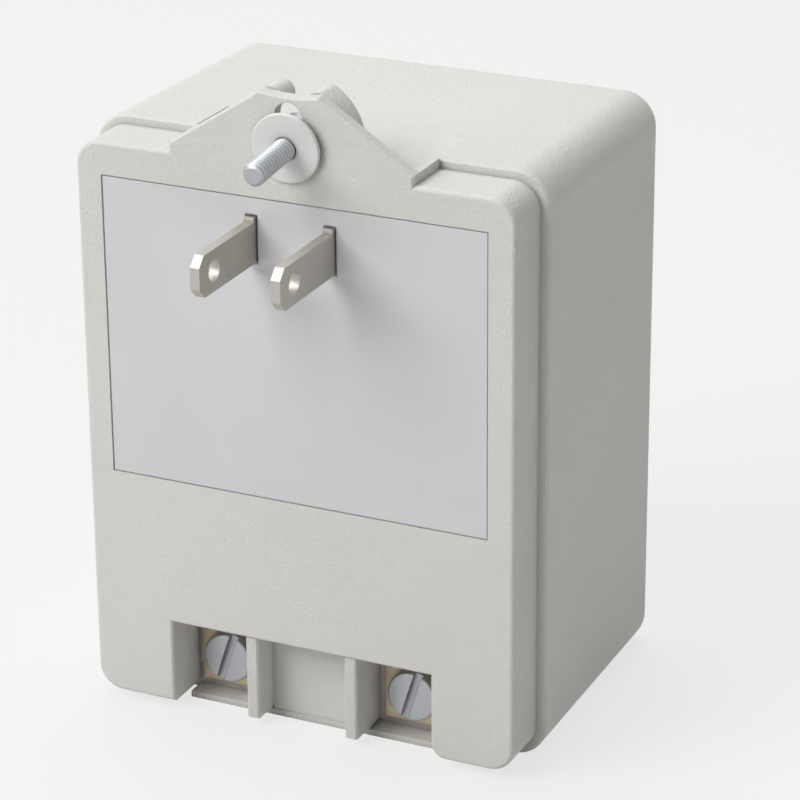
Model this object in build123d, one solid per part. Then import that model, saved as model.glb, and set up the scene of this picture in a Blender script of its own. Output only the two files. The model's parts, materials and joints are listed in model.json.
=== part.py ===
"""A plug-in transformer: a moulded case with two wall blades, a fixing tab and two screw terminals.

All sizes are in millimetres. X runs along the width, Y runs from the wall into the unit, Z is up.
The origin is on the wall face, midway between the two blades, where the outlet's own centre lies.
"""
from build123d import *
from math import cos, radians, sin, tan
import os

# Front cover, the shallow half that lies against the wall
cover_width = 70.6
cover_height = 90.3
cover_depth = 8.9
cover_corner_radius = 4.0
cover_edge_radius = 0.7
cover_wall = 2.2
face_thickness = 2.4
blade_drop = 11.9            # from the cover's top edge down to the middle of the blades
lip_length = 2.6             # how far the cover reaches into the housing

# Rear housing, the deep half
unit_depth = 54.1            # wall face to back
rim_step = 1.5               # how far the housing stands out beyond the cover all round
housing_wall = 2.4
rear_edge_radius = 3.2
rim_edge_chamfer = 0.4
draft = 0.6                  # how much the sides and the top come in by the back

# Fixing tab on top of the cover, with its screw boss and the screwdriver recess behind it
tab_thickness = 2.0
tab_foot_half_width = 19.6
tab_foot_height = 1.4        # upright stretch above the cover's top edge
tab_height = 11.1            # above the cover's top edge, at the tab's two top corners
tab_top_half_width = 4.7
tab_dip = 0.45               # shallow hollow along the tab's top edge
tab_edge_chamfer = 0.35
slot_width = 4.4
slot_length = 8.2
slot_height = 17.65          # middle of the slot above the middle of the blades
boss_radius = 9.2
boss_bore_radius = 6.0
boss_height = 15.0           # boss axis above the middle of the blades
boss_length = 4.4
boss_notch_width = 4.0
boss_notch_radius = 1.8
recess_drop = 4.5            # how deep the recess is at the tab
recess_end = 19.4            # where the recess runs out on top of the housing
recess_side_wall = 1.0       # upright web at each side, in the cover only
recess_floor = 2.0

# Rating label, left plain, in its own shallow pocket
label_width = 62.2
label_height = 47.5
label_top = 6.8              # above the middle of the blades
label_thickness = 0.2
label_pocket_depth = 0.3
label_gap = 0.2              # between the label's edge and its pocket
label_blade_gap = 0.3        # between the label and the blades

# Blades, to the common flat two-blade pattern
blade_spacing = 12.7
blade_width = 6.35
blade_thickness = 1.52
blade_length = 17.3
blade_tip_chamfer = 1.5
blade_hole_radius = 1.7
blade_hole_reach = 12.9      # wall face to the middle of the hole
blade_step_height = 0.7      # small step on each blade's upper edge, at its root
blade_step_length = 0.8
blade_shoulder_width = 10.0
blade_shoulder_length = 1.8
blade_tail_width = 5.0
blade_tail_end = 10.4        # behind the wall face
blade_eye_radius = 0.8

# Plate that holds the blades from behind, staked on two pegs
retainer_width = 32.0
retainer_height = 13.0
retainer_thickness = 2.0
peg_spacing = 25.0
peg_radius = 1.5
peg_head_radius = 2.4
peg_head_height = 0.8

# Fixing screw, loose in its slot and drooping, and the washer that keeps it
screw_radius = 1.75
screw_length = 13.8
screw_head_radius = 3.5
screw_head_height = 2.2
screw_slot_width = 1.1
screw_slot_depth = 1.1
screw_tip_chamfer = 0.5
screw_droop = 5.5            # degrees below level
washer_radius = 5.3
washer_thickness = 0.7

# Terminal opening in the cover's lower edge
opening_half_width = 21.9
opening_height = 13.8        # above the cover's bottom edge
opening_wall = 1.8
opening_foot_radius = 3.0    # where the opening meets the right foot's bottom edge
opening_edge_chamfer = 0.3

# Terminal block, a separate moulding in that opening
block_wall = 2.5
barrier_thickness = 2.1
barrier_gap = 14.6           # clear width between the two barriers
barrier_front = 0.4          # behind the wall face
barrier_edge_chamfer = 0.3
middle_face = 5.4            # behind the wall face
shelf_front = 5.2
shelf_thickness = 1.0

# Terminals: a brass plate with a tail to the inside, and a slotted screw
terminal_spacing = 31.6
terminal_height = 5.9        # screw axis above the cover's bottom edge
plate_width = 10.4
plate_thickness = 0.8
plate_bottom = 5.2           # below the screw axis
plate_top = 6.3              # above the screw axis
plate_tail_width = 5.0
plate_tail_length = 8.0
terminal_head_radius = 4.1
terminal_head_height = 2.2
terminal_shank_radius = 1.75
terminal_shank_length = 6.5
terminal_slot_width = 1.4
terminal_slot_depth = 1.0
left_slot_angle = 25.0       # degrees, leaning right at the top
right_slot_angle = 17.0

# Transformer core, of interleaved E and I sheets in packs
core_width = 57.0
core_room = 1.75             # between the inside of the cover's face and the core
core_stack = 35.0
core_height = -32.0          # middle of the stack, from the middle of the blades
core_packs = 10
varnish_gap = 0.02

# Bobbin and windings on the middle leg
bobbin_clearance = 0.3
bobbin_wall = 1.0
flange_thickness = 1.2
flange_corner = 1.5
flange_rim = 0.9             # flange height above the windings
tape_thickness = 0.3
winding_corner_radius = 2.0
ledge_depth = 3.0
ledge_height = 5.0
ledge_half_width = 17.0
pin_size = 0.9               # square
pin_length = 4.0
primary_pin_places = [-13.5, -4.0, 8.0]
secondary_pin_places = [-9.0, 9.0]

# Thermal fuse on top of the primary winding, and the wires
fuse_radius = 1.9
fuse_length = 5.5
fuse_lead_radius = 0.4
wire_radius = 0.9

# Ribs that carry the core
rib_thickness = 2.0
rib_overlap = 3.0            # how far the shelf ribs reach over the core's sides
rib_start = 14.0             # behind the wall face

# Clearances between pieces
fit_gap = 0.1
seat_gap = 0.05

# Places that follow from the sizes above
cover_top = blade_drop
cover_bottom = cover_top - cover_height
housing_width = cover_width + 2 * rim_step
housing_top = cover_top + rim_step
base = cover_bottom - rim_step
housing_height = housing_top - base
housing_corner_radius = cover_corner_radius + rim_step
cavity_half_width = housing_width / 2 - housing_wall
cavity_top = housing_top - housing_wall
cavity_bottom = base + housing_wall
cavity_back = unit_depth - housing_wall
opening_top = cover_bottom + opening_height
block_half_width = opening_half_width + opening_wall
block_front = cover_depth + seat_gap
block_back = block_front + block_wall
terminal_z = cover_bottom + terminal_height
plate_front = block_front - seat_gap - plate_thickness
tail_top = terminal_z + plate_top
slot_bottom = slot_height - slot_length / 2
recess_half_width = tab_foot_half_width - recess_side_wall
shoulder_back = face_thickness + seat_gap + blade_shoulder_length
retainer_front = shoulder_back + seat_gap
retainer_back = retainer_front + retainer_thickness
core_back = cavity_back - seat_gap
core_front = face_thickness + core_room
core_leg = (core_back - core_front) / 5      # outer legs, yokes and windows; the middle leg is twice this
core_top = core_height + core_stack / 2
core_bottom = core_height - core_stack / 2
window_front = core_front + core_leg
window_back = core_back - core_leg
flange_front = window_front + bobbin_clearance
flange_back = window_back - bobbin_clearance
tube_half_width = core_leg + bobbin_clearance + bobbin_wall
tube_half_height = core_stack / 2 + bobbin_clearance + bobbin_wall
coil_half_width = 2 * core_leg - bobbin_clearance
coil_build = coil_half_width - tube_half_width
coil_half_height = tube_half_height + coil_build


def block(x0, x1, y0, y1, z0, z1):
    """A rectangular block between two opposite corners."""
    return Pos(x0, y0, z0) * Box(x1 - x0, y1 - y0, z1 - z0, align=(Align.MIN, Align.MIN, Align.MIN))


def wall_plane(y):
    """The plane parallel to the wall at depth y, with X to the right and Z up."""
    return Plane.XZ.offset(-y)


def prism(sketch, y0, y1):
    """A sketch in wall view, as a prism from depth y0 to depth y1."""
    return extrude(wall_plane(y0) * sketch, -(y1 - y0))


def rod(x, z, y0, y1, radius):
    """A round rod along Y."""
    return prism(Pos(x, z) * Circle(radius), y0, y1)


def rounded(width, z0, z1, radius):
    """A rounded rectangle in wall view, centred on X, between two heights."""
    return Pos(0, (z0 + z1) / 2) * RectangleRounded(width, z1 - z0, radius)


def side_prism(points, x0, x1):
    """A polygon of (y, z) points as a prism from x0 to x1."""
    outline = Polyline([(x0, y, z) for y, z in points], close=True)
    return extrude(make_face(outline), x1 - x0, dir=(1, 0, 0))


def case_form(inset, y0, y1):
    """The housing's form from y0 to y1, drawn in by a wall: a flat base, and sides and top with draft."""
    def pull(y):
        return inset + draft * (y - cover_depth) / (unit_depth - cover_depth)
    low = base + inset
    half = housing_width / 2
    plan = [(half - pull(y0), y0), (half - pull(y1), y1), (pull(y1) - half, y1), (pull(y0) - half, y0)]
    column = extrude(make_face(Polyline([(x, y, low) for x, y in plan], close=True)), 2 * housing_height,
                     dir=(0, 0, 1))
    side = [(y0, low), (y1, low), (y1, housing_top - pull(y1)), (y0, housing_top - pull(y0))]
    form = column & side_prism(side, -housing_width, housing_width)
    long_edges = [edge for edge in form.edges() if abs(edge.tangent_at(0.5).Y) > 0.9]
    return fillet(long_edges, housing_corner_radius - inset)


def recess_form(half_width, grow):
    """The screwdriver recess behind the tab as a solid wedge, grown sideways and down by a wall."""
    half = half_width + grow
    slope = recess_drop / (recess_end - tab_thickness)
    above = housing_top + tab_height
    start = tab_thickness - grow
    end = recess_end + (above - housing_top) / slope
    low = housing_top - recess_drop - slope * grow - grow
    return side_prism([(start, low), (end, low + slope * (end - start)), (start, above)], -half, half)


def rear_housing():
    shell = case_form(0, cover_depth, unit_depth)
    shell = fillet(shell.faces().sort_by(Axis.Y)[-1].edges(), rear_edge_radius)
    shell = chamfer(shell.faces().sort_by(Axis.Y)[0].edges(), rim_edge_chamfer)
    cavity = case_form(housing_wall, cover_depth - 1, cavity_back)
    shell -= cavity - recess_form(tab_foot_half_width, recess_floor)
    shell -= recess_form(tab_foot_half_width, 0)
    for side in (-1, 1):
        wall_x = side * (cavity_half_width + housing_wall / 2)
        shelf_x = side * (core_width / 2 - rib_overlap)
        stop_x = side * (core_width / 2 + fit_gap)
        for edge, up in ((core_top, 1), (core_bottom, -1)):
            near = edge + up * fit_gap
            far = near + up * rib_thickness
            shell += block(*sorted((shelf_x, wall_x)), rib_start, cavity_back + 1, *sorted((near, far)))
            stop = edge - up * rib_thickness * 2
            lows = sorted((stop, stop - up * rib_thickness))
            shell += block(*sorted((stop_x, wall_x)), rib_start, cavity_back + 1, *lows)
    notch = block_half_width + fit_gap
    shell -= block(-notch, notch, cover_depth - 1, block_back + fit_gap, base - 1, cavity_bottom + 1)
    return shell


def tab_outline():
    """The tab and its foot in wall view, down to the blades' side of the cover's top edge."""
    foot = (tab_foot_half_width, cover_top + tab_foot_height)
    corner = (tab_top_half_width, cover_top + tab_height)
    low = cover_top - cover_wall
    dip = (0, cover_top + tab_height - tab_dip)
    left_corner = (-corner[0], corner[1])
    sides = Polyline(left_corner, (-foot[0], foot[1]), (-foot[0], low), (foot[0], low), foot, corner)
    top = ThreePointArc(corner, dip, left_corner)
    return make_face([sides, top])


def tab():
    """The flat of the tab, its outer edges eased at the front."""
    flat = prism(tab_outline(), 0, tab_thickness)
    front = flat.faces().sort_by(Axis.Y)[0].edges()
    return chamfer(front.sort_by(Axis.Z)[1:], tab_edge_chamfer)


def terminal_opening():
    """The opening's form, eased round its front and with a round where it meets the right foot."""
    low = cover_bottom
    half = opening_half_width
    gap = block(-half, half, -1, cover_depth + 1, low - 1, opening_top)
    ease = opening_edge_chamfer
    mouth = Rectangle(2 * (half + ease), 2 * opening_height + ease, align=(Align.CENTER, Align.MAX))
    gap += extrude(wall_plane(0) * Pos(0, opening_top + ease) * mouth, -ease, taper=45)
    radius = opening_foot_radius
    corner = block(half - 1, half + radius, -1, cover_depth + 1, low - 1, low + radius)
    return gap + (corner - rod(half + radius, low + radius, -2, cover_depth + 2, radius))


def front_cover():
    shell = prism(rounded(cover_width, cover_bottom, cover_top, cover_corner_radius), 0, cover_depth)
    shell = fillet(shell.faces().sort_by(Axis.Y)[0].edges(), cover_edge_radius)
    shell += tab()
    foot = tab_foot_half_width
    shell += block(-foot, foot, tab_edge_chamfer, cover_depth, cover_top - cover_wall, housing_top)

    inside = rounded(cover_width - 2 * cover_wall, cover_bottom + cover_wall, cover_top - cover_wall,
                     cover_corner_radius - cover_wall)
    cavity = prism(inside, face_thickness, cover_depth + lip_length + 1)
    lip_line = rounded(2 * (cavity_half_width - fit_gap), cavity_bottom + fit_gap, cavity_top - fit_gap,
                       housing_corner_radius - housing_wall)
    lip = prism(lip_line, cover_depth - 1, cover_depth + lip_length)
    hood = tab_foot_half_width + recess_floor + fit_gap
    lip -= block(-hood, hood, cover_depth, cover_depth + lip_length, 0, housing_top)
    notch = block_half_width + fit_gap
    lip -= block(-notch, notch, cover_depth, cover_depth + lip_length, base, opening_top)
    shell += lip

    pocket = block(-block_half_width, block_half_width, 0, cover_depth, base, opening_top + opening_wall)
    shell -= cavity - recess_form(recess_half_width, recess_floor) - pocket
    shell -= block(-hood, hood, cover_depth, cover_depth + lip_length + 1, 0, housing_top + 1)
    shell -= terminal_opening()
    shell -= recess_form(recess_half_width, 0)
    shell += screw_boss()
    slot = Pos(0, slot_height) * Rot(0, 0, 90) * SlotOverall(slot_length, slot_width)
    shell -= prism(slot, -1, boss_length)
    shell -= rod(0, boss_height, tab_thickness, tab_thickness + boss_length + 1, boss_bore_radius)
    shell -= label_form(0, -1, label_pocket_depth)
    shell -= blade_slots(seat_gap, -1, face_thickness + 1)
    for side in (-1, 1):
        x = side * peg_spacing / 2
        peg_end = retainer_back + seat_gap
        shell += rod(x, 0, face_thickness - 1, peg_end, peg_radius)
        shell += rod(x, 0, peg_end, peg_end + peg_head_height, peg_head_radius)
        pad_x = side * (core_width / 2 - core_leg / 2)
        pad_half = rib_thickness / 2
        pad_end = core_front - seat_gap
        pad_ends = (core_bottom + core_leg / 2, core_top - core_leg / 2)
        shell += block(pad_x - pad_half, pad_x + pad_half, face_thickness - 1, pad_end, *pad_ends)
    return shell


def screw_boss():
    """The round boss behind the tab, open at the top where the screw was slid in."""
    back = tab_thickness + boss_length
    boss = rod(0, boss_height, tab_thickness - 0.5, back, boss_radius)
    half = boss_notch_width / 2
    notch = block(-half, half, tab_thickness, back + 1, boss_height, boss_height + 2 * boss_radius)
    boss -= notch
    rims = boss.edges().filter_by(Axis.Y).group_by(Axis.Z)[-1]
    boss = fillet(rims, boss_notch_radius)
    return boss & recess_form(recess_half_width, 0.5)


def label_form(inset, y0, y1):
    """The label's rectangle from y0 to y1, drawn in all round."""
    half = label_width / 2 - inset
    return block(-half, half, y0, y1, label_top - label_height + inset, label_top - inset)


def blade_places():
    return (-blade_spacing / 2, blade_spacing / 2)


def blade_slots(gap, y0, y1):
    """Room for both blades and their steps, with a gap all round, from y0 to y1."""
    width = blade_thickness + 2 * gap
    low = -blade_width / 2 - gap
    high = blade_width / 2 + blade_step_height + gap
    slots = Sketch() + [Pos(x, (low + high) / 2) * Rectangle(width, high - low) for x in blade_places()]
    return prism(slots, y0, y1)


def rating_label():
    sheet = label_form(label_gap, label_pocket_depth - label_thickness, label_pocket_depth)
    return sheet - blade_slots(label_blade_gap, -1, 1)


def blade(x):
    """One flat blade with its pierced tip, its shoulder behind the cover's face and its tail."""
    half = blade_width / 2
    tip = -blade_length
    cut = blade_tip_chamfer
    shoulder = blade_shoulder_width / 2
    shoulder_front = face_thickness + seat_gap
    tail = blade_tail_width / 2
    step = half + blade_step_height
    point = [(tip, half - cut), (tip + cut, half)]
    root_step = [(-blade_step_length, half), (-blade_step_length, step), (shoulder_front, step)]
    back = [(shoulder_front, shoulder), (shoulder_back, shoulder)]
    back += [(shoulder_back, tail), (blade_tail_end, tail)]
    upper = point + root_step + back
    lower = [(y, -z) for y, z in reversed(point + [(shoulder_front, half)] + back)]
    x0 = x - blade_thickness / 2
    x1 = x + blade_thickness / 2
    strip = side_prism(upper + lower, x0, x1)
    for y, radius in ((-blade_hole_reach, blade_hole_radius), (tail_eye(), blade_eye_radius)):
        strip -= Pos(x, y, 0) * Rot(0, 90, 0) * Cylinder(radius, 2 * blade_thickness)
    return strip


def tail_eye():
    """The depth of the eye in a blade's tail, where its wire is soldered."""
    return blade_tail_end - 2 * blade_eye_radius


def blade_retainer():
    plate = prism(RectangleRounded(retainer_width, retainer_height, 1.5), retainer_front, retainer_back)
    for x in blade_places():
        width = blade_thickness + 2 * fit_gap
        plate -= prism(Pos(x, 0) * Rectangle(width, blade_tail_width + 2 * fit_gap), 0, blade_tail_end)
    for side in (-1, 1):
        plate -= rod(side * peg_spacing / 2, 0, 0, blade_tail_end, peg_radius + fit_gap)
    return plate


def slotted_screw(head_radius, head_height, shank_radius, shank_length, slot_width, slot_depth):
    """A screw along -Z from the underside of its head at the origin, with the head above."""
    head = Cylinder(head_radius, head_height, align=(Align.CENTER, Align.CENTER, Align.MIN))
    head = chamfer(head.edges().group_by(Axis.Z)[-1], head_height / 4)
    slot_block = Box(3 * head_radius, slot_width, 2 * slot_depth)
    head -= Pos(0, 0, head_height) * slot_block
    shank = Cylinder(shank_radius, shank_length, align=(Align.CENTER, Align.CENTER, Align.MAX))
    shank = chamfer(shank.edges().group_by(Axis.Z)[0], screw_tip_chamfer)
    return head + shank


def screw_place():
    """Where the drooping screw's axis meets the wall face, resting on the slot's lower end."""
    droop = radians(screw_droop)
    return slot_bottom + seat_gap + screw_radius / cos(droop)


def along_screw(reach):
    """The place on the screw's axis at a distance behind the wall face, measured along the axis."""
    droop = radians(screw_droop)
    return Pos(0, reach * cos(droop), screw_place() + reach * sin(droop)) * Rot(-90 + screw_droop, 0, 0)


def mounting_screw():
    droop = radians(screw_droop)
    lean = screw_head_radius * tan(droop)
    behind = tab_thickness / cos(droop) + lean + seat_gap
    screw = slotted_screw(screw_head_radius, screw_head_height, screw_radius, screw_length,
                          screw_slot_width, screw_slot_depth)
    return along_screw(behind) * screw


def retaining_washer():
    lean = washer_radius * tan(radians(screw_droop))
    ring = Cylinder(washer_radius, washer_thickness, align=(Align.CENTER, Align.CENTER, Align.MAX))
    ring -= Cylinder(screw_radius + seat_gap, 4 * washer_thickness)
    return along_screw(-lean - seat_gap) * ring


def terminal_places():
    return (-terminal_spacing / 2, terminal_spacing / 2)


def terminal_block():
    top = opening_top + opening_wall
    body = block(-block_half_width, block_half_width, block_front, block_back, cavity_bottom, top)
    foot = block_half_width
    body += block(-foot, foot, block_front, block_back, base, top)
    inner = opening_half_width - fit_gap
    ceiling = opening_top - fit_gap
    body += block(-inner, inner, shelf_front, block_back, base, base + shelf_thickness)
    half = barrier_gap / 2
    body += block(-half, half, middle_face, block_back, base, ceiling)
    for side in (-1, 1):
        near = side * half
        far = side * (half + barrier_thickness)
        low = cover_bottom
        barrier = block(*sorted((near, far)), barrier_front, block_back, low, ceiling)
        front = barrier.faces().sort_by(Axis.Y)[0]
        body += chamfer(front.edges().filter_by(Axis.Z), barrier_edge_chamfer)
    for x in terminal_places():
        body -= rod(x, terminal_z, 0, unit_depth, terminal_shank_radius + fit_gap)
        tail = plate_tail_width / 2 + fit_gap
        low = tail_top - plate_thickness - fit_gap
        body -= block(x - tail, x + tail, block_front - 1, block_back + 1, low, tail_top + fit_gap)
    return body


def terminal_plate(x):
    """A brass plate behind the screw, with its tail bent back through the block."""
    half = plate_width / 2
    low = terminal_z - plate_bottom
    plate = block(x - half, x + half, plate_front, plate_front + plate_thickness, low, tail_top)
    tail = plate_tail_width / 2
    end = plate_front + plate_thickness + plate_tail_length
    plate += block(x - tail, x + tail, plate_front, end, tail_top - plate_thickness, tail_top)
    return plate - rod(x, terminal_z, 0, end, terminal_shank_radius + seat_gap)


def terminal_screw(x, slot_angle):
    screw = slotted_screw(terminal_head_radius, terminal_head_height, terminal_shank_radius,
                          terminal_shank_length, terminal_slot_width, terminal_slot_depth)
    turned = Rot(90, 0, 0) * Rot(0, 0, 90 - slot_angle) * screw
    return Pos(x, plate_front - seat_gap, terminal_z) * turned


def core_sheets():
    """Packs of E sheets, opening forwards and backwards in turn, each closed by a pack of I sheets."""
    pitch = core_stack / core_packs
    half = core_width / 2
    e_packs = []
    i_packs = []
    for number in range(core_packs):
        low = core_bottom + number * pitch + varnish_gap / 2
        high = low + pitch - varnish_gap
        forward = number % 2 == 0
        yoke = core_leg + varnish_gap
        i_front = core_front if forward else window_back
        e_front, e_back = (core_front + yoke, core_back) if forward else (core_front, core_back - yoke)
        gap_front, gap_back = (e_front, window_back) if forward else (window_front, e_back)
        e_pack = block(-half, half, e_front, e_back, low, high)
        for side in (-1, 1):
            window = sorted((side * core_leg, side * 2 * core_leg))
            e_pack -= block(*window, gap_front - 1 * forward, gap_back + 1 * (not forward), low, high)
        e_packs += [e_pack]
        i_packs += [block(-half, half, i_front, i_front + core_leg, low, high)]
    return e_packs, i_packs


def coil_ring(outline, hole_half_width, hole_half_height, y0, y1):
    """A ring round the middle leg, from its outline in wall view, with a rectangular hole."""
    hole = Rectangle(2 * hole_half_width, 2 * hole_half_height)
    return prism(Pos(0, core_height) * (outline - hole), y0, y1)


def flange_places():
    """The front face of each of the bobbin's three flanges."""
    middle = (flange_front + flange_back - flange_thickness) / 2
    return (flange_front, middle, flange_back - flange_thickness)


def bobbin():
    hole_width = core_leg + bobbin_clearance
    hole_height = core_stack / 2 + bobbin_clearance
    tube = Rectangle(2 * tube_half_width, 2 * tube_half_height)
    form = coil_ring(tube, hole_width, hole_height, flange_front, flange_back)
    flange = Rectangle(2 * coil_half_width, 2 * coil_half_height)
    flange = chamfer(flange.vertices(), flange_corner)
    for y in flange_places():
        form += coil_ring(flange, hole_width, hole_height, y, y + flange_thickness)
    for side in (-1, 1):
        outer = core_height + side * coil_half_height
        inner = outer - side * ledge_height
        half = ledge_half_width
        form += block(-half, half, flange_front - ledge_depth, flange_front + 0.5, *sorted((inner, outer)))
    size = pin_size + 2 * seat_gap
    holes = Sketch() + [Pos(x, z) * Rectangle(size, size) for x, z in pin_spots()]
    return form - prism(holes, pin_tip(), flange_front)


def pin_spots():
    """The (x, z) places of the primary pins on the upper ledge and the secondary ones on the lower."""
    upper = core_height + coil_half_height - ledge_height / 2
    lower = core_height - coil_half_height + ledge_height / 2
    return [(x, upper) for x in primary_pin_places] + [(x, lower) for x in secondary_pin_places]


def pin_tip():
    """The depth of the pins' free ends."""
    return flange_front - ledge_depth - pin_length


def bobbin_pins():
    section = Rectangle(pin_size, pin_size)
    return [prism(Pos(x, z) * section, pin_tip(), flange_front - seat_gap) for x, z in pin_spots()]


def winding(number):
    """Winding 0 is the primary, at the front; winding 1 is the secondary."""
    y0 = flange_places()[number] + flange_thickness + seat_gap
    y1 = flange_places()[number + 1] - seat_gap
    grow = coil_build - flange_rim - tape_thickness - seat_gap
    width = 2 * (tube_half_width + grow)
    height = 2 * (tube_half_height + grow)
    outline = RectangleRounded(width, height, winding_corner_radius)
    return coil_ring(outline, tube_half_width + seat_gap, tube_half_height + seat_gap, y0, y1)


def tape(number):
    """The insulating tape round a winding."""
    y0 = flange_places()[number] + flange_thickness + seat_gap
    y1 = flange_places()[number + 1] - seat_gap
    grow = coil_build - flange_rim - tape_thickness
    width = 2 * (tube_half_width + grow)
    height = 2 * (tube_half_height + grow)
    inner = RectangleRounded(width, height, winding_corner_radius)
    wrap = 2 * tape_thickness
    outer = RectangleRounded(width + wrap, height + wrap, winding_corner_radius + tape_thickness)
    return prism(Pos(0, core_height) * (outer - inner), y0, y1)


def wire(points, radius):
    """A round wire along straight runs, mitred at each turn."""
    start = Plane(origin=points[0], z_dir=Vector(*points[1]) - Vector(*points[0]))
    return sweep(start * Circle(radius), path=Polyline(*points), transition=Transition.RIGHT)


def thermal_fuse():
    """The fuse across the top of the primary winding, with its leads down to two pins."""
    left, right = primary_pin_places[0], primary_pin_places[1]
    middle = (left + right) / 2
    y = (flange_places()[0] + flange_thickness + flange_places()[1]) / 2
    z = core_height + coil_half_height - flange_rim + seat_gap + fuse_radius
    body = Pos(middle, y, z) * Rot(0, 90, 0) * Cylinder(fuse_radius, fuse_length)
    pin_y = pin_tip() + pin_length - 2 * fuse_lead_radius
    pin_z = pin_spots()[0][1] + pin_size / 2 + seat_gap
    for x in (left, right):
        points = [(middle, y, z), (x, y, z), (x, pin_y, z), (x, pin_y, pin_z)]
        body += wire(points, fuse_lead_radius)
    return body


def primary_wire(side, pin_x):
    """From the eye of a blade's tail down to its pin."""
    x = side * (blade_spacing / 2 + blade_thickness / 2 + seat_gap + wire_radius)
    y = tail_eye()
    pin_y = pin_tip() + wire_radius
    pin_z = pin_spots()[0][1] + pin_size / 2 + seat_gap
    drop = pin_z / 3
    points = [(x, y, blade_tail_width / 2), (x, y, drop), (pin_x, pin_y, 2 * drop), (pin_x, pin_y, pin_z)]
    return wire(points, wire_radius)


def secondary_wire(side):
    """From a lower pin down to the tail of a terminal plate."""
    x = side * terminal_spacing / 2
    y = block_back + plate_tail_length / 4
    pin_x, pin_z = pin_spots()[-1 if side > 0 else -2]
    pin_y = pin_tip() + pin_length / 2
    start = pin_z - pin_size / 2 - seat_gap
    end = tail_top + seat_gap
    passage = (core_height - coil_half_height + opening_top + opening_wall) / 2
    points = [(pin_x, pin_y, start), (pin_x, pin_y, passage), (x, y, passage), (x, y, end)]
    return wire(points, wire_radius)


def build_all():
    left, right = terminal_places()
    left_blade, right_blade = blade_places()
    e_packs, i_packs = core_sheets()
    return {
        "rear_housing": [rear_housing()],
        "front_cover": [front_cover()],
        "rating_label": [rating_label()],
        "neutral_blade": [blade(left_blade)],
        "line_blade": [blade(right_blade)],
        "blade_retainer": [blade_retainer()],
        "mounting_screw": [mounting_screw()],
        "retaining_washer": [retaining_washer()],
        "terminal_block": [terminal_block()],
        "left_terminal_plate": [terminal_plate(left)],
        "right_terminal_plate": [terminal_plate(right)],
        "left_terminal_screw": [terminal_screw(left, left_slot_angle)],
        "right_terminal_screw": [terminal_screw(right, right_slot_angle)],
        "core_e_sheets": e_packs,
        "core_i_sheets": i_packs,
        "bobbin": [bobbin()],
        "bobbin_pins": bobbin_pins(),
        "primary_winding": [winding(0)],
        "secondary_winding": [winding(1)],
        "primary_tape": [tape(0)],
        "secondary_tape": [tape(1)],
        "thermal_fuse": [thermal_fuse()],
        "line_wire": [primary_wire(1, primary_pin_places[2])],
        "neutral_wire": [primary_wire(-1, primary_pin_places[0])],
        "left_output_wire": [secondary_wire(-1)],
        "right_output_wire": [secondary_wire(1)],
    }


os.makedirs("parts", exist_ok=True)
for name, pieces in build_all().items():
    solids = [solid for piece in pieces for solid in piece.solids()]
    export_step(Compound(children=solids) if len(solids) > 1 else solids[0], f"parts/{name}.step")
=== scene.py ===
"""Looks of the plug-in transformer: moulded case, label, blades, screws and terminals, in metres."""
import json
import math

import bmesh
import bpy
from mathutils import Matrix, Vector


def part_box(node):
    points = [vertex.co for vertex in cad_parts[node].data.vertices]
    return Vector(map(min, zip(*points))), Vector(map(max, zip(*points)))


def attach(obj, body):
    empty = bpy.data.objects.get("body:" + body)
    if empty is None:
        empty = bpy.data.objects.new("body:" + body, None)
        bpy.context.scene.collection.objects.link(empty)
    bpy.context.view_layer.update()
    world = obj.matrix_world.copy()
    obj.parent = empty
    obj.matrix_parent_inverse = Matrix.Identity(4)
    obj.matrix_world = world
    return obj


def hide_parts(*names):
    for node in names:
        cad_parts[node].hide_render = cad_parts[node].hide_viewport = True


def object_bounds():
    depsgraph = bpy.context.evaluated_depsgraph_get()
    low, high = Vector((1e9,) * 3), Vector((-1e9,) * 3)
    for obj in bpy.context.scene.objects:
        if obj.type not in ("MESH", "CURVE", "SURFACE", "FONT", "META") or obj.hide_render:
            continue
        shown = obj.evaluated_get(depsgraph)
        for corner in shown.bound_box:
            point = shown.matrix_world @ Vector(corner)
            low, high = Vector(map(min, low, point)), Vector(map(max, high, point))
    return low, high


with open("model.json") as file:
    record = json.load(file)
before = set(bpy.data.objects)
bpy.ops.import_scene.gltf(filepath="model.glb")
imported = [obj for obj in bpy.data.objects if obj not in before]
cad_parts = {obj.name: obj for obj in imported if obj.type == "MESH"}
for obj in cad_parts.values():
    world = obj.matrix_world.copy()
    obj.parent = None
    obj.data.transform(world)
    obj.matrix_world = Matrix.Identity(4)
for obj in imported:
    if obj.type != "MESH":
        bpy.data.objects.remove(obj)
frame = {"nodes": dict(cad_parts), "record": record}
cad_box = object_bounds()

MM = 0.001

# Camera, from a pinhole fit to the picture's main lines
CAMERA_TARGET = Vector((7.794, 20.0, -30.119)) * MM
CAMERA_AZIMUTH = math.radians(25.272)
CAMERA_ELEVATION = math.radians(22.585)
CAMERA_ROLL = math.radians(-0.455)
CAMERA_DISTANCE = 511.695 * MM
CAMERA_LENS = 151.93
CAMERA_SENSOR = 36.0
CAMERA_CLIP_START = 10 * MM

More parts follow.
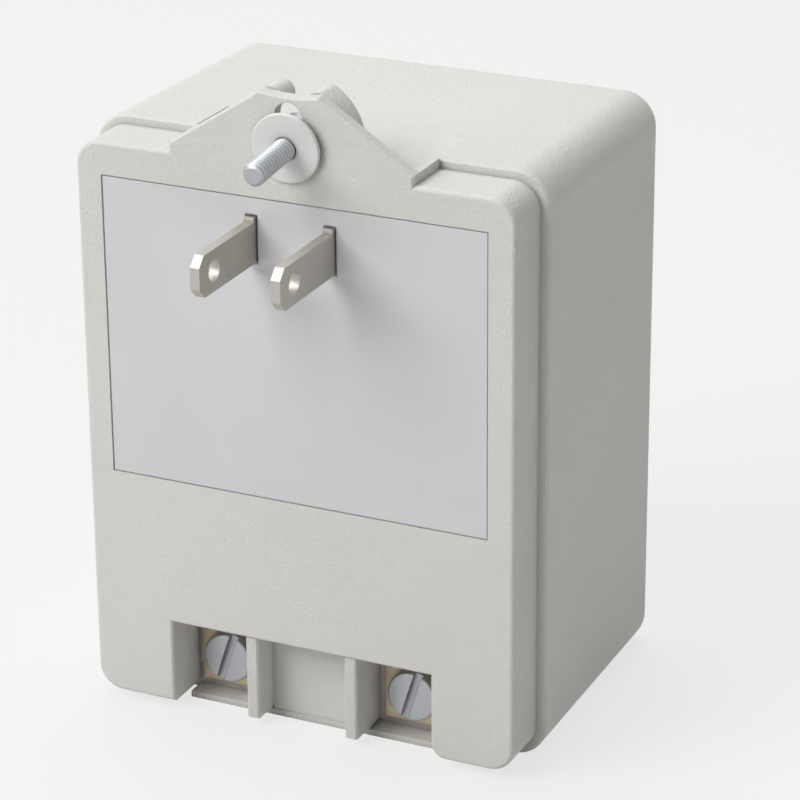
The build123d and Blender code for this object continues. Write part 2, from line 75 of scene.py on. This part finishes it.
# Screws: number 6 threads, and heads eased to a low dome
SHANK_RADIUS = 1.75 * MM
TIP_CHAMFER = 0.5 * MM
THREAD_PITCH = 0.794 * MM
THREAD_DEPTH = 0.42 * MM
THREAD_FLAT = 0.12           # share of the depth cut off at the crest and at the root
THREAD_RINGS = 12            # rings to each turn of the thread
ROUND_STEPS = 48             # points round a screw or washer
EDGE_STEPS = 6               # rings over the rounded edge of a head
DOME_SHARES = (0.8, 0.6, 0.4, 0.2)       # rings over the dome, as shares of its radius
HEAD_CHAMFER = 0.12 * MM     # under the head's rim
SHARP_ANGLE = math.radians(30.0)
FIXING_HEAD = {"radius": 3.5 * MM, "height": 2.2 * MM, "edge": 0.5 * MM, "dome": 0.12 * MM,
               "slot_width": 1.1 * MM, "slot_depth": 1.1 * MM}
TERMINAL_HEAD = {"radius": 4.1 * MM, "height": 2.2 * MM, "edge": 0.55 * MM, "dome": 0.2 * MM,
                 "slot_width": 1.4 * MM, "slot_depth": 1.0 * MM}
LEFT_SLOT_LEAN = math.radians(18.0)      # both slots lean right at the top
RIGHT_SLOT_LEAN = math.radians(17.0)

# Top of the fixing tab, as in the construction
TAB_THICKNESS = 2.0 * MM
TAB_TOP = 23.0 * MM
TAB_TOP_HALF_WIDTH = 4.7 * MM
TAB_DIP = 0.45 * MM
TAB_TOP_STEPS = 24
ROOM_ABOVE_TAB = 4 * MM
WELD_DISTANCE = 0.0005 * MM
COVER_SHARP_ANGLE = math.radians(12.0)

# Washer on the fixing screw
WASHER_EDGE = 0.15 * MM
WASHER_BORE = 1.8 * MM

# Light, at which a colour renders about as it is written: place, size and power of each lamp
LAMPS = {
    "key": ((-0.55, -0.70, 0.70), 0.85, 8.5),
    "fill": ((0.85, -0.35, 0.25), 0.7, 0.15),
    "top": ((-0.15, 0.30, 0.95), 0.6, 4.3),
}
AIM = Vector((0.0, 20.0, -30.0)) * MM
WORLD_STRENGTH = 0.20
FLOOR_SIZE = 6.0
FLOOR_COLOUR = 0.70
FLOOR_ROUGHNESS = 0.9
FLOOR_LIFT = 0.72            # share of plain white in the floor where it is only looked at


def camera_matrix():
    """The camera's place and turn, looking at the target with a small roll."""
    a, e, r = CAMERA_AZIMUTH, CAMERA_ELEVATION, CAMERA_ROLL
    back = Vector((math.sin(a) * math.cos(e), -math.cos(a) * math.cos(e), math.sin(e)))
    level = Vector((math.cos(a), math.sin(a), 0.0))
    upright = back.cross(level)
    right = math.cos(r) * level + math.sin(r) * upright
    up = back.cross(right)
    turn = Matrix((right, up, back)).transposed()
    return Matrix.Translation(CAMERA_TARGET + back * CAMERA_DISTANCE) @ turn.to_4x4()


def add_camera():
    """The scene's camera."""
    data = bpy.data.cameras.new("camera")
    data.lens = CAMERA_LENS
    data.sensor_width = CAMERA_SENSOR
    data.clip_start = CAMERA_CLIP_START
    camera = bpy.data.objects.new("camera", data)
    camera.matrix_world = camera_matrix()
    bpy.context.collection.objects.link(camera)
    bpy.context.scene.camera = camera


def add_lamp(name, place, size, power):
    """A round soft lamp that looks at the part."""
    data = bpy.data.lights.new(name, "AREA")
    data.shape = "DISK"
    data.size = size
    data.energy = power
    light = bpy.data.objects.new(name, data)
    light.location = place
    light.rotation_euler = (AIM - Vector(place)).to_track_quat("-Z", "Y").to_euler()
    bpy.context.collection.objects.link(light)


class Nodes:
    """A short way to build a material's node tree."""

    def __init__(self, name):
        self.material = bpy.data.materials.new(name)
        self.material.use_nodes = True
        self.tree = self.material.node_tree
        self.tree.nodes.clear()
        self.shader = self.add("ShaderNodeBsdfPrincipled")
        self.output = self.add("ShaderNodeOutputMaterial")
        self.link(self.shader, "BSDF", self.output, "Surface")

    def add(self, kind, **values):
        """A new node, with the given settings."""
        node = self.tree.nodes.new(kind)
        for key, value in values.items():
            setattr(node, key, value)
        return node

    def link(self, source, source_socket, target, target_socket):
        self.tree.links.new(source.outputs[source_socket], target.inputs[target_socket])

    def noise(self, scale, detail=4.0, roughness=0.55, stretch=None):
        """Noise over the object's own coordinates, drawn out along an axis if asked."""
        place = self.add("ShaderNodeTexCoord")
        texture = self.add("ShaderNodeTexNoise")
        texture.inputs["Scale"].default_value = scale
        texture.inputs["Detail"].default_value = detail
        texture.inputs["Roughness"].default_value = roughness
        if stretch is None:
            self.link(place, "Object", texture, "Vector")
        else:
            mapping = self.add("ShaderNodeMapping")
            mapping.inputs["Scale"].default_value = stretch
            self.link(place, "Object", mapping, "Vector")
            self.link(mapping, "Vector", texture, "Vector")
        return texture

    def ramp(self, source, socket, stops):
        """A colour ramp over a value, from (place, colour) stops."""
        ramp = self.add("ShaderNodeValToRGB")
        elements = ramp.color_ramp.elements
        while len(elements) < len(stops):
            elements.new(0.5)
        for element, (place, colour) in zip(elements, stops):
            element.position = place
            element.color = (*colour, 1.0)
        self.link(source, socket, ramp, "Fac")
        return ramp

    def spread(self, source, socket, low, high):
        """Maps a value from the range 0 to 1 to the range low to high."""
        node = self.add("ShaderNodeMapRange")
        node.inputs["To Min"].default_value = low
        node.inputs["To Max"].default_value = high
        self.link(source, socket, node, "Value")
        return node

    def bump(self, source, socket, distance, strength=1.0, before=None):
        """A normal raised by a value, on top of the normal of an earlier node if given."""
        node = self.add("ShaderNodeBump")
        node.inputs["Distance"].default_value = distance
        node.inputs["Strength"].default_value = strength
        self.link(source, socket, node, "Height")
        if before is not None:
            self.link(before, "Normal", node, "Normal")
        return node

    def eased_edges(self, radius):
        """A normal that rounds the sharp edges off a little."""
        node = self.add("ShaderNodeBevel", samples=6)
        node.inputs["Radius"].default_value = radius
        return node

    def painted_crease_shade(self, source, socket, distance, depth):
        """The colour with painted shade: darker in corners and grooves, from ambient occlusion, by up
        to the depth given.
        """
        occlusion_shade = self.add("ShaderNodeAmbientOcclusion", samples=8)
        occlusion_shade.inputs["Distance"].default_value = distance
        share = self.spread(occlusion_shade, "AO", 1.0 - depth, 1.0)
        tinted = self.add("ShaderNodeVectorMath", operation="SCALE")
        self.link(source, socket, tinted, 0)
        self.link(share, "Result", tinted, "Scale")
        return tinted

    def set(self, socket, value):
        self.shader.inputs[socket].default_value = value


def shade(colour, factor):
    """The colour made darker or lighter."""
    return tuple(channel * factor for channel in colour)


def moulded_plastic(name, colour, roughness, grain=0.18 * MM):
    """Moulded plastic with a fine spark-eroded grain, faint clouding, patches of softer gloss and
    painted shade in its corners.
    """
    n = Nodes(name)
    cloud = n.noise(scale=28.0, detail=3.0)
    tint = n.ramp(cloud, "Fac", [(0.3, shade(colour, 0.965)), (0.7, shade(colour, 1.02))])
    # Painted shade: the colour darkened by up to 45 per cent in corners and grooves, from ambient
    # occlusion
    painted_crease_shade = n.painted_crease_shade(tint, "Color", distance=1.2 * MM, depth=0.45)
    n.link(painted_crease_shade, "Vector", n.shader, "Base Color")
    fine = n.noise(scale=1900.0, detail=3.0, roughness=0.6)
    soft = n.noise(scale=420.0, detail=2.0)
    rough = n.spread(soft, "Fac", roughness - 0.07, roughness + 0.07)
    n.link(rough, "Result", n.shader, "Roughness")
    edges = n.eased_edges(radius=0.18 * MM)
    waves = n.bump(soft, "Fac", distance=0.8 * grain, strength=0.35, before=edges)
    grains = n.bump(fine, "Fac", distance=grain, before=waves)
    n.link(grains, "Normal", n.shader, "Normal")
    return n.material


def drawn_metal(name, colour, roughness, along, wear=0.86):
    """Rolled or drawn metal, with fine lines along one axis, patches shaded by the wear, and painted
    shade in its creases.
    """
    n = Nodes(name)
    stretch = tuple(0.04 if axis == along else 1.0 for axis in "XYZ")
    lines = n.noise(scale=2800.0, detail=4.0, roughness=0.65, stretch=stretch)
    patches = n.noise(scale=240.0, detail=3.0)
    tint = n.ramp(patches, "Fac", [(0.3, shade(colour, wear)), (0.65, colour)])
    # Painted shade: the colour darkened by up to 75 per cent in corners and thread grooves, from
    # ambient occlusion
    painted_crease_shade = n.painted_crease_shade(tint, "Color", distance=0.7 * MM, depth=0.75)
    n.link(painted_crease_shade, "Vector", n.shader, "Base Color")
    rough = n.spread(lines, "Fac", roughness * 0.8, roughness * 1.25)
    n.link(rough, "Result", n.shader, "Roughness")
    edges = n.eased_edges(radius=0.1 * MM)
    scratches = n.bump(lines, "Fac", distance=0.02 * MM, strength=0.5, before=edges)
    n.link(scratches, "Normal", n.shader, "Normal")
    n.set("Metallic", 1.0)
    return n.material


def label_film(colour):
    """A plain satin film with a faint paper tooth."""
    n = Nodes("label_film")
    cloud = n.noise(scale=60.0, detail=2.0)
    tint = n.ramp(cloud, "Fac", [(0.3, shade(colour, 0.98)), (0.7, shade(colour, 1.01))])
    n.link(tint, "Color", n.shader, "Base Color")
    tooth = n.noise(scale=3400.0, detail=2.0)
    rough = n.spread(tooth, "Fac", 0.36, 0.5)
    n.link(rough, "Result", n.shader, "Roughness")
    bump = n.bump(tooth, "Fac", distance=0.006 * MM, strength=0.4)
    n.link(bump, "Normal", n.shader, "Normal")
    return n.material


def sealed_material(name, colour, roughness, metallic=0.0):
    """A slightly mottled surface for the pieces inside the closed case."""
    n = Nodes(name)
    grain = n.noise(scale=900.0)
    tint = n.ramp(grain, "Fac", [(0.3, shade(colour, 0.85)), (0.7, colour)])
    n.link(tint, "Color", n.shader, "Base Color")
    rough = n.spread(grain, "Fac", roughness - 0.1, roughness + 0.1)
    n.link(rough, "Result", n.shader, "Roughness")
    bump = n.bump(grain, "Fac", distance=0.02 * MM, strength=0.5)
    n.link(bump, "Normal", n.shader, "Normal")
    n.set("Metallic", metallic)
    return n.material


def make_materials():
    """One material for each slot of the record."""
    return {
        "case_plastic": moulded_plastic("case_plastic", (0.78, 0.77, 0.735), 0.48),
        "block_plastic": moulded_plastic("block_plastic", (0.74, 0.73, 0.69), 0.42),
        "washer_fibre": moulded_plastic("washer_fibre", (0.86, 0.86, 0.845), 0.34, grain=0.02 * MM),
        "label_film": label_film((0.74, 0.75, 0.765)),
        "blade_brass": drawn_metal("blade_plating", (0.53, 0.51, 0.46), 0.5, "Y", wear=0.93),
        "terminal_brass": drawn_metal("terminal_plating", (0.60, 0.52, 0.36), 0.36, "Z"),
        "screw_steel": drawn_metal("screw_plating", (0.47, 0.48, 0.50), 0.5, "Z", wear=0.92),
        "core_steel": sealed_material("core_steel", (0.20, 0.21, 0.23), 0.5, 0.6),
        "winding_copper": sealed_material("winding_copper", (0.60, 0.26, 0.12), 0.35, 0.8),
        "bobbin_nylon": sealed_material("bobbin_nylon", (0.78, 0.77, 0.72), 0.5),
        "tape_film": sealed_material("tape_film", (0.72, 0.56, 0.12), 0.35),
        "fuse_body": sealed_material("fuse_body", (0.68, 0.60, 0.46), 0.55),
        "wire_black": sealed_material("wire_black", (0.03, 0.03, 0.035), 0.5),
        "wire_white": sealed_material("wire_white", (0.75, 0.75, 0.73), 0.5),
        "wire_yellow": sealed_material("wire_yellow", (0.70, 0.52, 0.08), 0.5),
    }


def dress_nodes(materials):
    """Gives every CAD node its material."""
    for row in frame["record"]["subparts"]:
        node = frame["nodes"][row["node"]]
        node.data.materials.clear()
        node.data.materials.append(materials[row["material_slot"]])


def add_piece(name, mesh, material, replaced):
    """Puts a mesh in the scene as a piece that stands for a CAD node."""
    piece = bpy.data.objects.new(name, mesh)
    bpy.context.collection.objects.link(piece)
    mesh.materials.append(material)
    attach(piece, "root")
    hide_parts(replaced)
    return piece


def ring_mesh(name, rings, close):
    """A mesh from rings of ROUND_STEPS points. If closed, the last ring joins the first."""
    shape = bmesh.new()
    loops = [[shape.verts.new(point) for point in ring] for ring in rings]
    pairs = list(zip(loops, loops[1:]))
    if close:
        pairs.append((loops[-1], loops[0]))
    for lower, upper in pairs:
        for k in range(ROUND_STEPS):
            after = (k + 1) % ROUND_STEPS
            shape.faces.new((lower[k], lower[after], upper[after], upper[k]))
    if not close:
        shape.faces.new(reversed(loops[0]))
        shape.faces.new(loops[-1])
    for face in shape.faces:
        face.smooth = len(face.verts) == 4
    mesh = bpy.data.meshes.new(name)
    shape.to_mesh(mesh)
    shape.free()
    mesh.set_sharp_from_angle(angle=SHARP_ANGLE)
    return mesh


def circle(radius, height):
    """One ring of points round Z. The radius is a number, or a function of the share of a turn."""
    ring = []
    for k in range(ROUND_STEPS):
        share = k / ROUND_STEPS
        r = radius(share) if callable(radius) else radius
        angle = 2 * math.pi * share
        ring.append(Vector((r * math.cos(angle), r * math.sin(angle), height)))
    return ring


def thread_rings(length):
    """Rings of a threaded shank from its tip at -length up to its head at 0."""
    count = round(length / THREAD_PITCH * THREAD_RINGS)

    def radius_at(height):
        limit = SHANK_RADIUS - TIP_CHAMFER + (height + length)

        def radius(share):
            phase = (height / THREAD_PITCH - share) % 1.0
            wedge = (1.0 - abs(2.0 * phase - 1.0) - THREAD_FLAT) / (1.0 - 2.0 * THREAD_FLAT)
            groove = min(max(wedge, 0.0), 1.0)
            return min(SHANK_RADIUS - THREAD_DEPTH * groove, limit)
        return radius

    heights = [-length + length * step / count for step in range(count)]
    return [circle(radius_at(height), height) for height in heights]


def head_rings(head):
    """Rings of a screw head from its underside at 0 up to the middle of its dome."""
    radius, height, edge, dome = (head[key] for key in ("radius", "height", "edge", "dome"))
    rim = height - dome - edge
    profile = [(SHANK_RADIUS, 0.0), (radius - HEAD_CHAMFER, 0.0), (radius, HEAD_CHAMFER), (radius, rim)]
    for step in range(1, EDGE_STEPS + 1):
        turn = math.pi / 2 * step / EDGE_STEPS
        profile.append((radius - edge * (1 - math.cos(turn)), rim + edge * math.sin(turn)))
    inner = radius - edge
    for share in DOME_SHARES:
        profile.append((inner * share, height - dome * share ** 2))
    return [circle(r, z) for r, z in profile]


def carve(mesh, form):
    """The mesh less a form given as a bmesh, which is used up."""
    tool_mesh = bpy.data.meshes.new("carving_tool")
    form.to_mesh(tool_mesh)
    form.free()
    body = bpy.data.objects.new("carved_body", mesh)
    tool = bpy.data.objects.new("carving_tool", tool_mesh)
    for thing in (body, tool):
        bpy.context.collection.objects.link(thing)
    cut = body.modifiers.new("cut", "BOOLEAN")
    cut.operation = "DIFFERENCE"
    cut.solver = "EXACT"
    cut.object = tool
    bpy.context.view_layer.update()
    result = bpy.data.meshes.new_from_object(body.evaluated_get(bpy.context.evaluated_depsgraph_get()))
    for thing in (body, tool):
        bpy.data.objects.remove(thing)
    return result


def slot_form(head):
    """A block for the driver slot along X across a head."""
    half = Vector((2 * head["radius"], head["slot_width"] / 2, head["slot_depth"]))
    form = bmesh.new()
    bmesh.ops.create_cube(form, size=2.0)
    for vertex in form.verts:
        vertex.co = Vector(a * b for a, b in zip(vertex.co, half)) + Vector((0, 0, head["height"]))
    return form


def tab_top_form():
    """Room over the hollow top edge of the tab, between the two horns of the boss behind it."""
    radius = (TAB_TOP_HALF_WIDTH ** 2 + TAB_DIP ** 2) / (2 * TAB_DIP)
    centre = TAB_TOP - TAB_DIP + radius
    outline = []
    for step in range(TAB_TOP_STEPS + 1):
        x = TAB_TOP_HALF_WIDTH * (2 * step / TAB_TOP_STEPS - 1)
        outline.append((x, centre - math.sqrt(radius ** 2 - x ** 2)))
    above = TAB_TOP + ROOM_ABOVE_TAB
    outline += [(TAB_TOP_HALF_WIDTH, above), (-TAB_TOP_HALF_WIDTH, above)]
    form = bmesh.new()
    front = [form.verts.new((x, TAB_THICKNESS / 2, z)) for x, z in outline]
    back = [form.verts.new((x, TAB_THICKNESS, z)) for x, z in outline]
    form.faces.new(front)
    form.faces.new(reversed(back))
    for k in range(len(outline)):
        after = (k + 1) % len(outline)
        form.faces.new((front[after], front[k], back[k], back[after]))
    return form


def add_cover(material):
    """The front cover with the top of its tab cleared between the boss's horns."""
    form = bmesh.new()
    form.from_mesh(frame["nodes"]["front_cover"].data)
    bmesh.ops.remove_doubles(form, verts=form.verts, dist=WELD_DISTANCE)
    for face in form.faces:
        face.smooth = True
    welded = bpy.data.meshes.new("welded_cover")
    form.to_mesh(welded)
    form.free()
    mesh = carve(welded, tab_top_form())
    if "custom_normal" in mesh.attributes:
        mesh.attributes.remove(mesh.attributes["custom_normal"])
    mesh.set_sharp_from_angle(angle=COVER_SHARP_ANGLE)
    mesh.materials.clear()
    piece = add_piece("dressed_cover", mesh, material, "front_cover")
    flats = piece.modifiers.new("flats", "WEIGHTED_NORMAL")
    flats.mode = "FACE_AREA"
    flats.weight = 100
    flats.keep_sharp = True


def add_screw(node, axis, place, slot_line, head, material):
    """A threaded, slotted screw along an axis that points to its tip, as long as its CAD node."""
    axis = Vector(axis).normalized()
    place = Vector(place)
    reach = [(vertex.co - place).dot(axis) for vertex in frame["nodes"][node].data.vertices]
    underside = min(reach) + head["height"]
    length = max(reach) - underside
    mesh = ring_mesh(node + "_threaded", thread_rings(length) + head_rings(head), close=False)
    mesh = carve(mesh, slot_form(head))
    mesh.name = node + "_threaded"
    turn = Matrix((slot_line, -axis.cross(slot_line), -axis)).transposed().to_4x4()
    mesh.transform(Matrix.Translation(place + axis * underside) @ turn)
    add_piece(node + "_threaded", mesh, material, node)


def add_washer(material, axis):
    """The washer square to the fixing screw, its rims eased."""
    points = [vertex.co for vertex in frame["nodes"]["retaining_washer"].data.vertices]
    middle = sum(points, Vector()) / len(points)
    offsets = [point - middle for point in points]
    reach = [offset.dot(axis) for offset in offsets]
    radius = max((offset - axis * offset.dot(axis)).length for offset in offsets)
    low, high = -max(reach), -min(reach)
    edge = WASHER_EDGE
    profile = [(WASHER_BORE, low), (radius - edge, low), (radius, low + edge), (radius, high - edge),
               (radius - edge, high), (WASHER_BORE + edge, high), (WASHER_BORE, high - edge)]
    mesh = ring_mesh("fixing_washer", [circle(r, z) for r, z in profile], close=True)
    across = Vector((1.0, 0.0, 0.0))
    turn = Matrix((across, -axis.cross(across), -axis)).transposed().to_4x4()
    mesh.transform(Matrix.Translation(middle) @ turn)
    add_piece("fixing_washer", mesh, material, "retaining_washer")


def add_screws(materials):
    """The fixing screw with its washer, and the two terminal screws."""
    mounts = {mount["name"]: mount for mount in frame["record"]["mounts"]}
    fixing = mounts["fixing_screw"]
    across = Vector((1.0, 0.0, 0.0))
    axis = Vector(fixing["axis"]).normalized()
    steel = materials["screw_steel"]
    add_screw("mounting_screw", axis, fixing["pos_m"], across, FIXING_HEAD, steel)
    add_washer(materials["washer_fibre"], axis)
    leans = {"left_terminal_screw": LEFT_SLOT_LEAN, "right_terminal_screw": RIGHT_SLOT_LEAN}
    for node, lean in leans.items():
        low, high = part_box(node)
        slot_line = Vector((math.sin(lean), 0.0, math.cos(lean)))
        add_screw(node, (0.0, 1.0, 0.0), (low + high) / 2, slot_line, TERMINAL_HEAD, steel)


def shown_rays(tree):
    """1 for rays seen by the camera, in a reflection or through glass, else 0."""
    path = tree.nodes.new("ShaderNodeLightPath")
    total = path.outputs["Is Camera Ray"]
    for name in ("Is Glossy Ray", "Is Transmission Ray"):
        largest = tree.nodes.new("ShaderNodeMath")
        largest.operation = "MAXIMUM"
        tree.links.new(total, largest.inputs[0])
        tree.links.new(path.outputs[name], largest.inputs[1])
        total = largest.outputs[0]
    return total


def add_stage():
    """A wide pale floor, lifted towards white where it is only looked at."""
    floor_z = cad_box[0][2]
    bpy.ops.mesh.primitive_plane_add(size=FLOOR_SIZE, location=(0.0, 0.0, floor_z))
    floor = bpy.context.object
    floor.name = "floor"
    n = Nodes("floor")
    n.set("Base Color", (FLOOR_COLOUR, FLOOR_COLOUR, FLOOR_COLOUR, 1.0))
    n.set("Roughness", FLOOR_ROUGHNESS)
    glow = n.add("ShaderNodeEmission")
    share = n.add("ShaderNodeMath", operation="MULTIPLY")
    share.inputs[1].default_value = FLOOR_LIFT
    mix = n.add("ShaderNodeMixShader")
    n.tree.links.new(shown_rays(n.tree), share.inputs[0])
    n.link(share, 0, mix, 0)
    n.link(n.shader, "BSDF", mix, 1)
    n.link(glow, 0, mix, 2)
    n.link(mix, 0, n.output, "Surface")
    floor.data.materials.append(n.material)


def set_world():
    """Soft white light from all round, and plain white where the world is only looked at."""
    world = bpy.data.worlds.new("studio")
    bpy.context.scene.world = world
    world.use_nodes = True
    tree = world.node_tree
    tree.nodes.clear()
    output = tree.nodes.new("ShaderNodeOutputWorld")
    mix = tree.nodes.new("ShaderNodeMixShader")
    soft = tree.nodes.new("ShaderNodeBackground")
    white = tree.nodes.new("ShaderNodeBackground")
    for background, strength in ((soft, WORLD_STRENGTH), (white, 1.0)):
        background.inputs["Color"].default_value = (1.0, 1.0, 1.0, 1.0)
        background.inputs["Strength"].default_value = strength
    tree.links.new(shown_rays(tree), mix.inputs[0])
    tree.links.new(soft.outputs[0], mix.inputs[1])
    tree.links.new(white.outputs[0], mix.inputs[2])
    tree.links.new(mix.outputs[0], output.inputs["Surface"])


materials = make_materials()
dress_nodes(materials)
add_cover(materials["case_plastic"])
add_screws(materials)
add_camera()
for name, (place, size, power) in LAMPS.items():
    add_lamp(name, place, size, power)
set_world()
add_stage()
bpy.context.scene.view_settings.view_transform = "Standard"
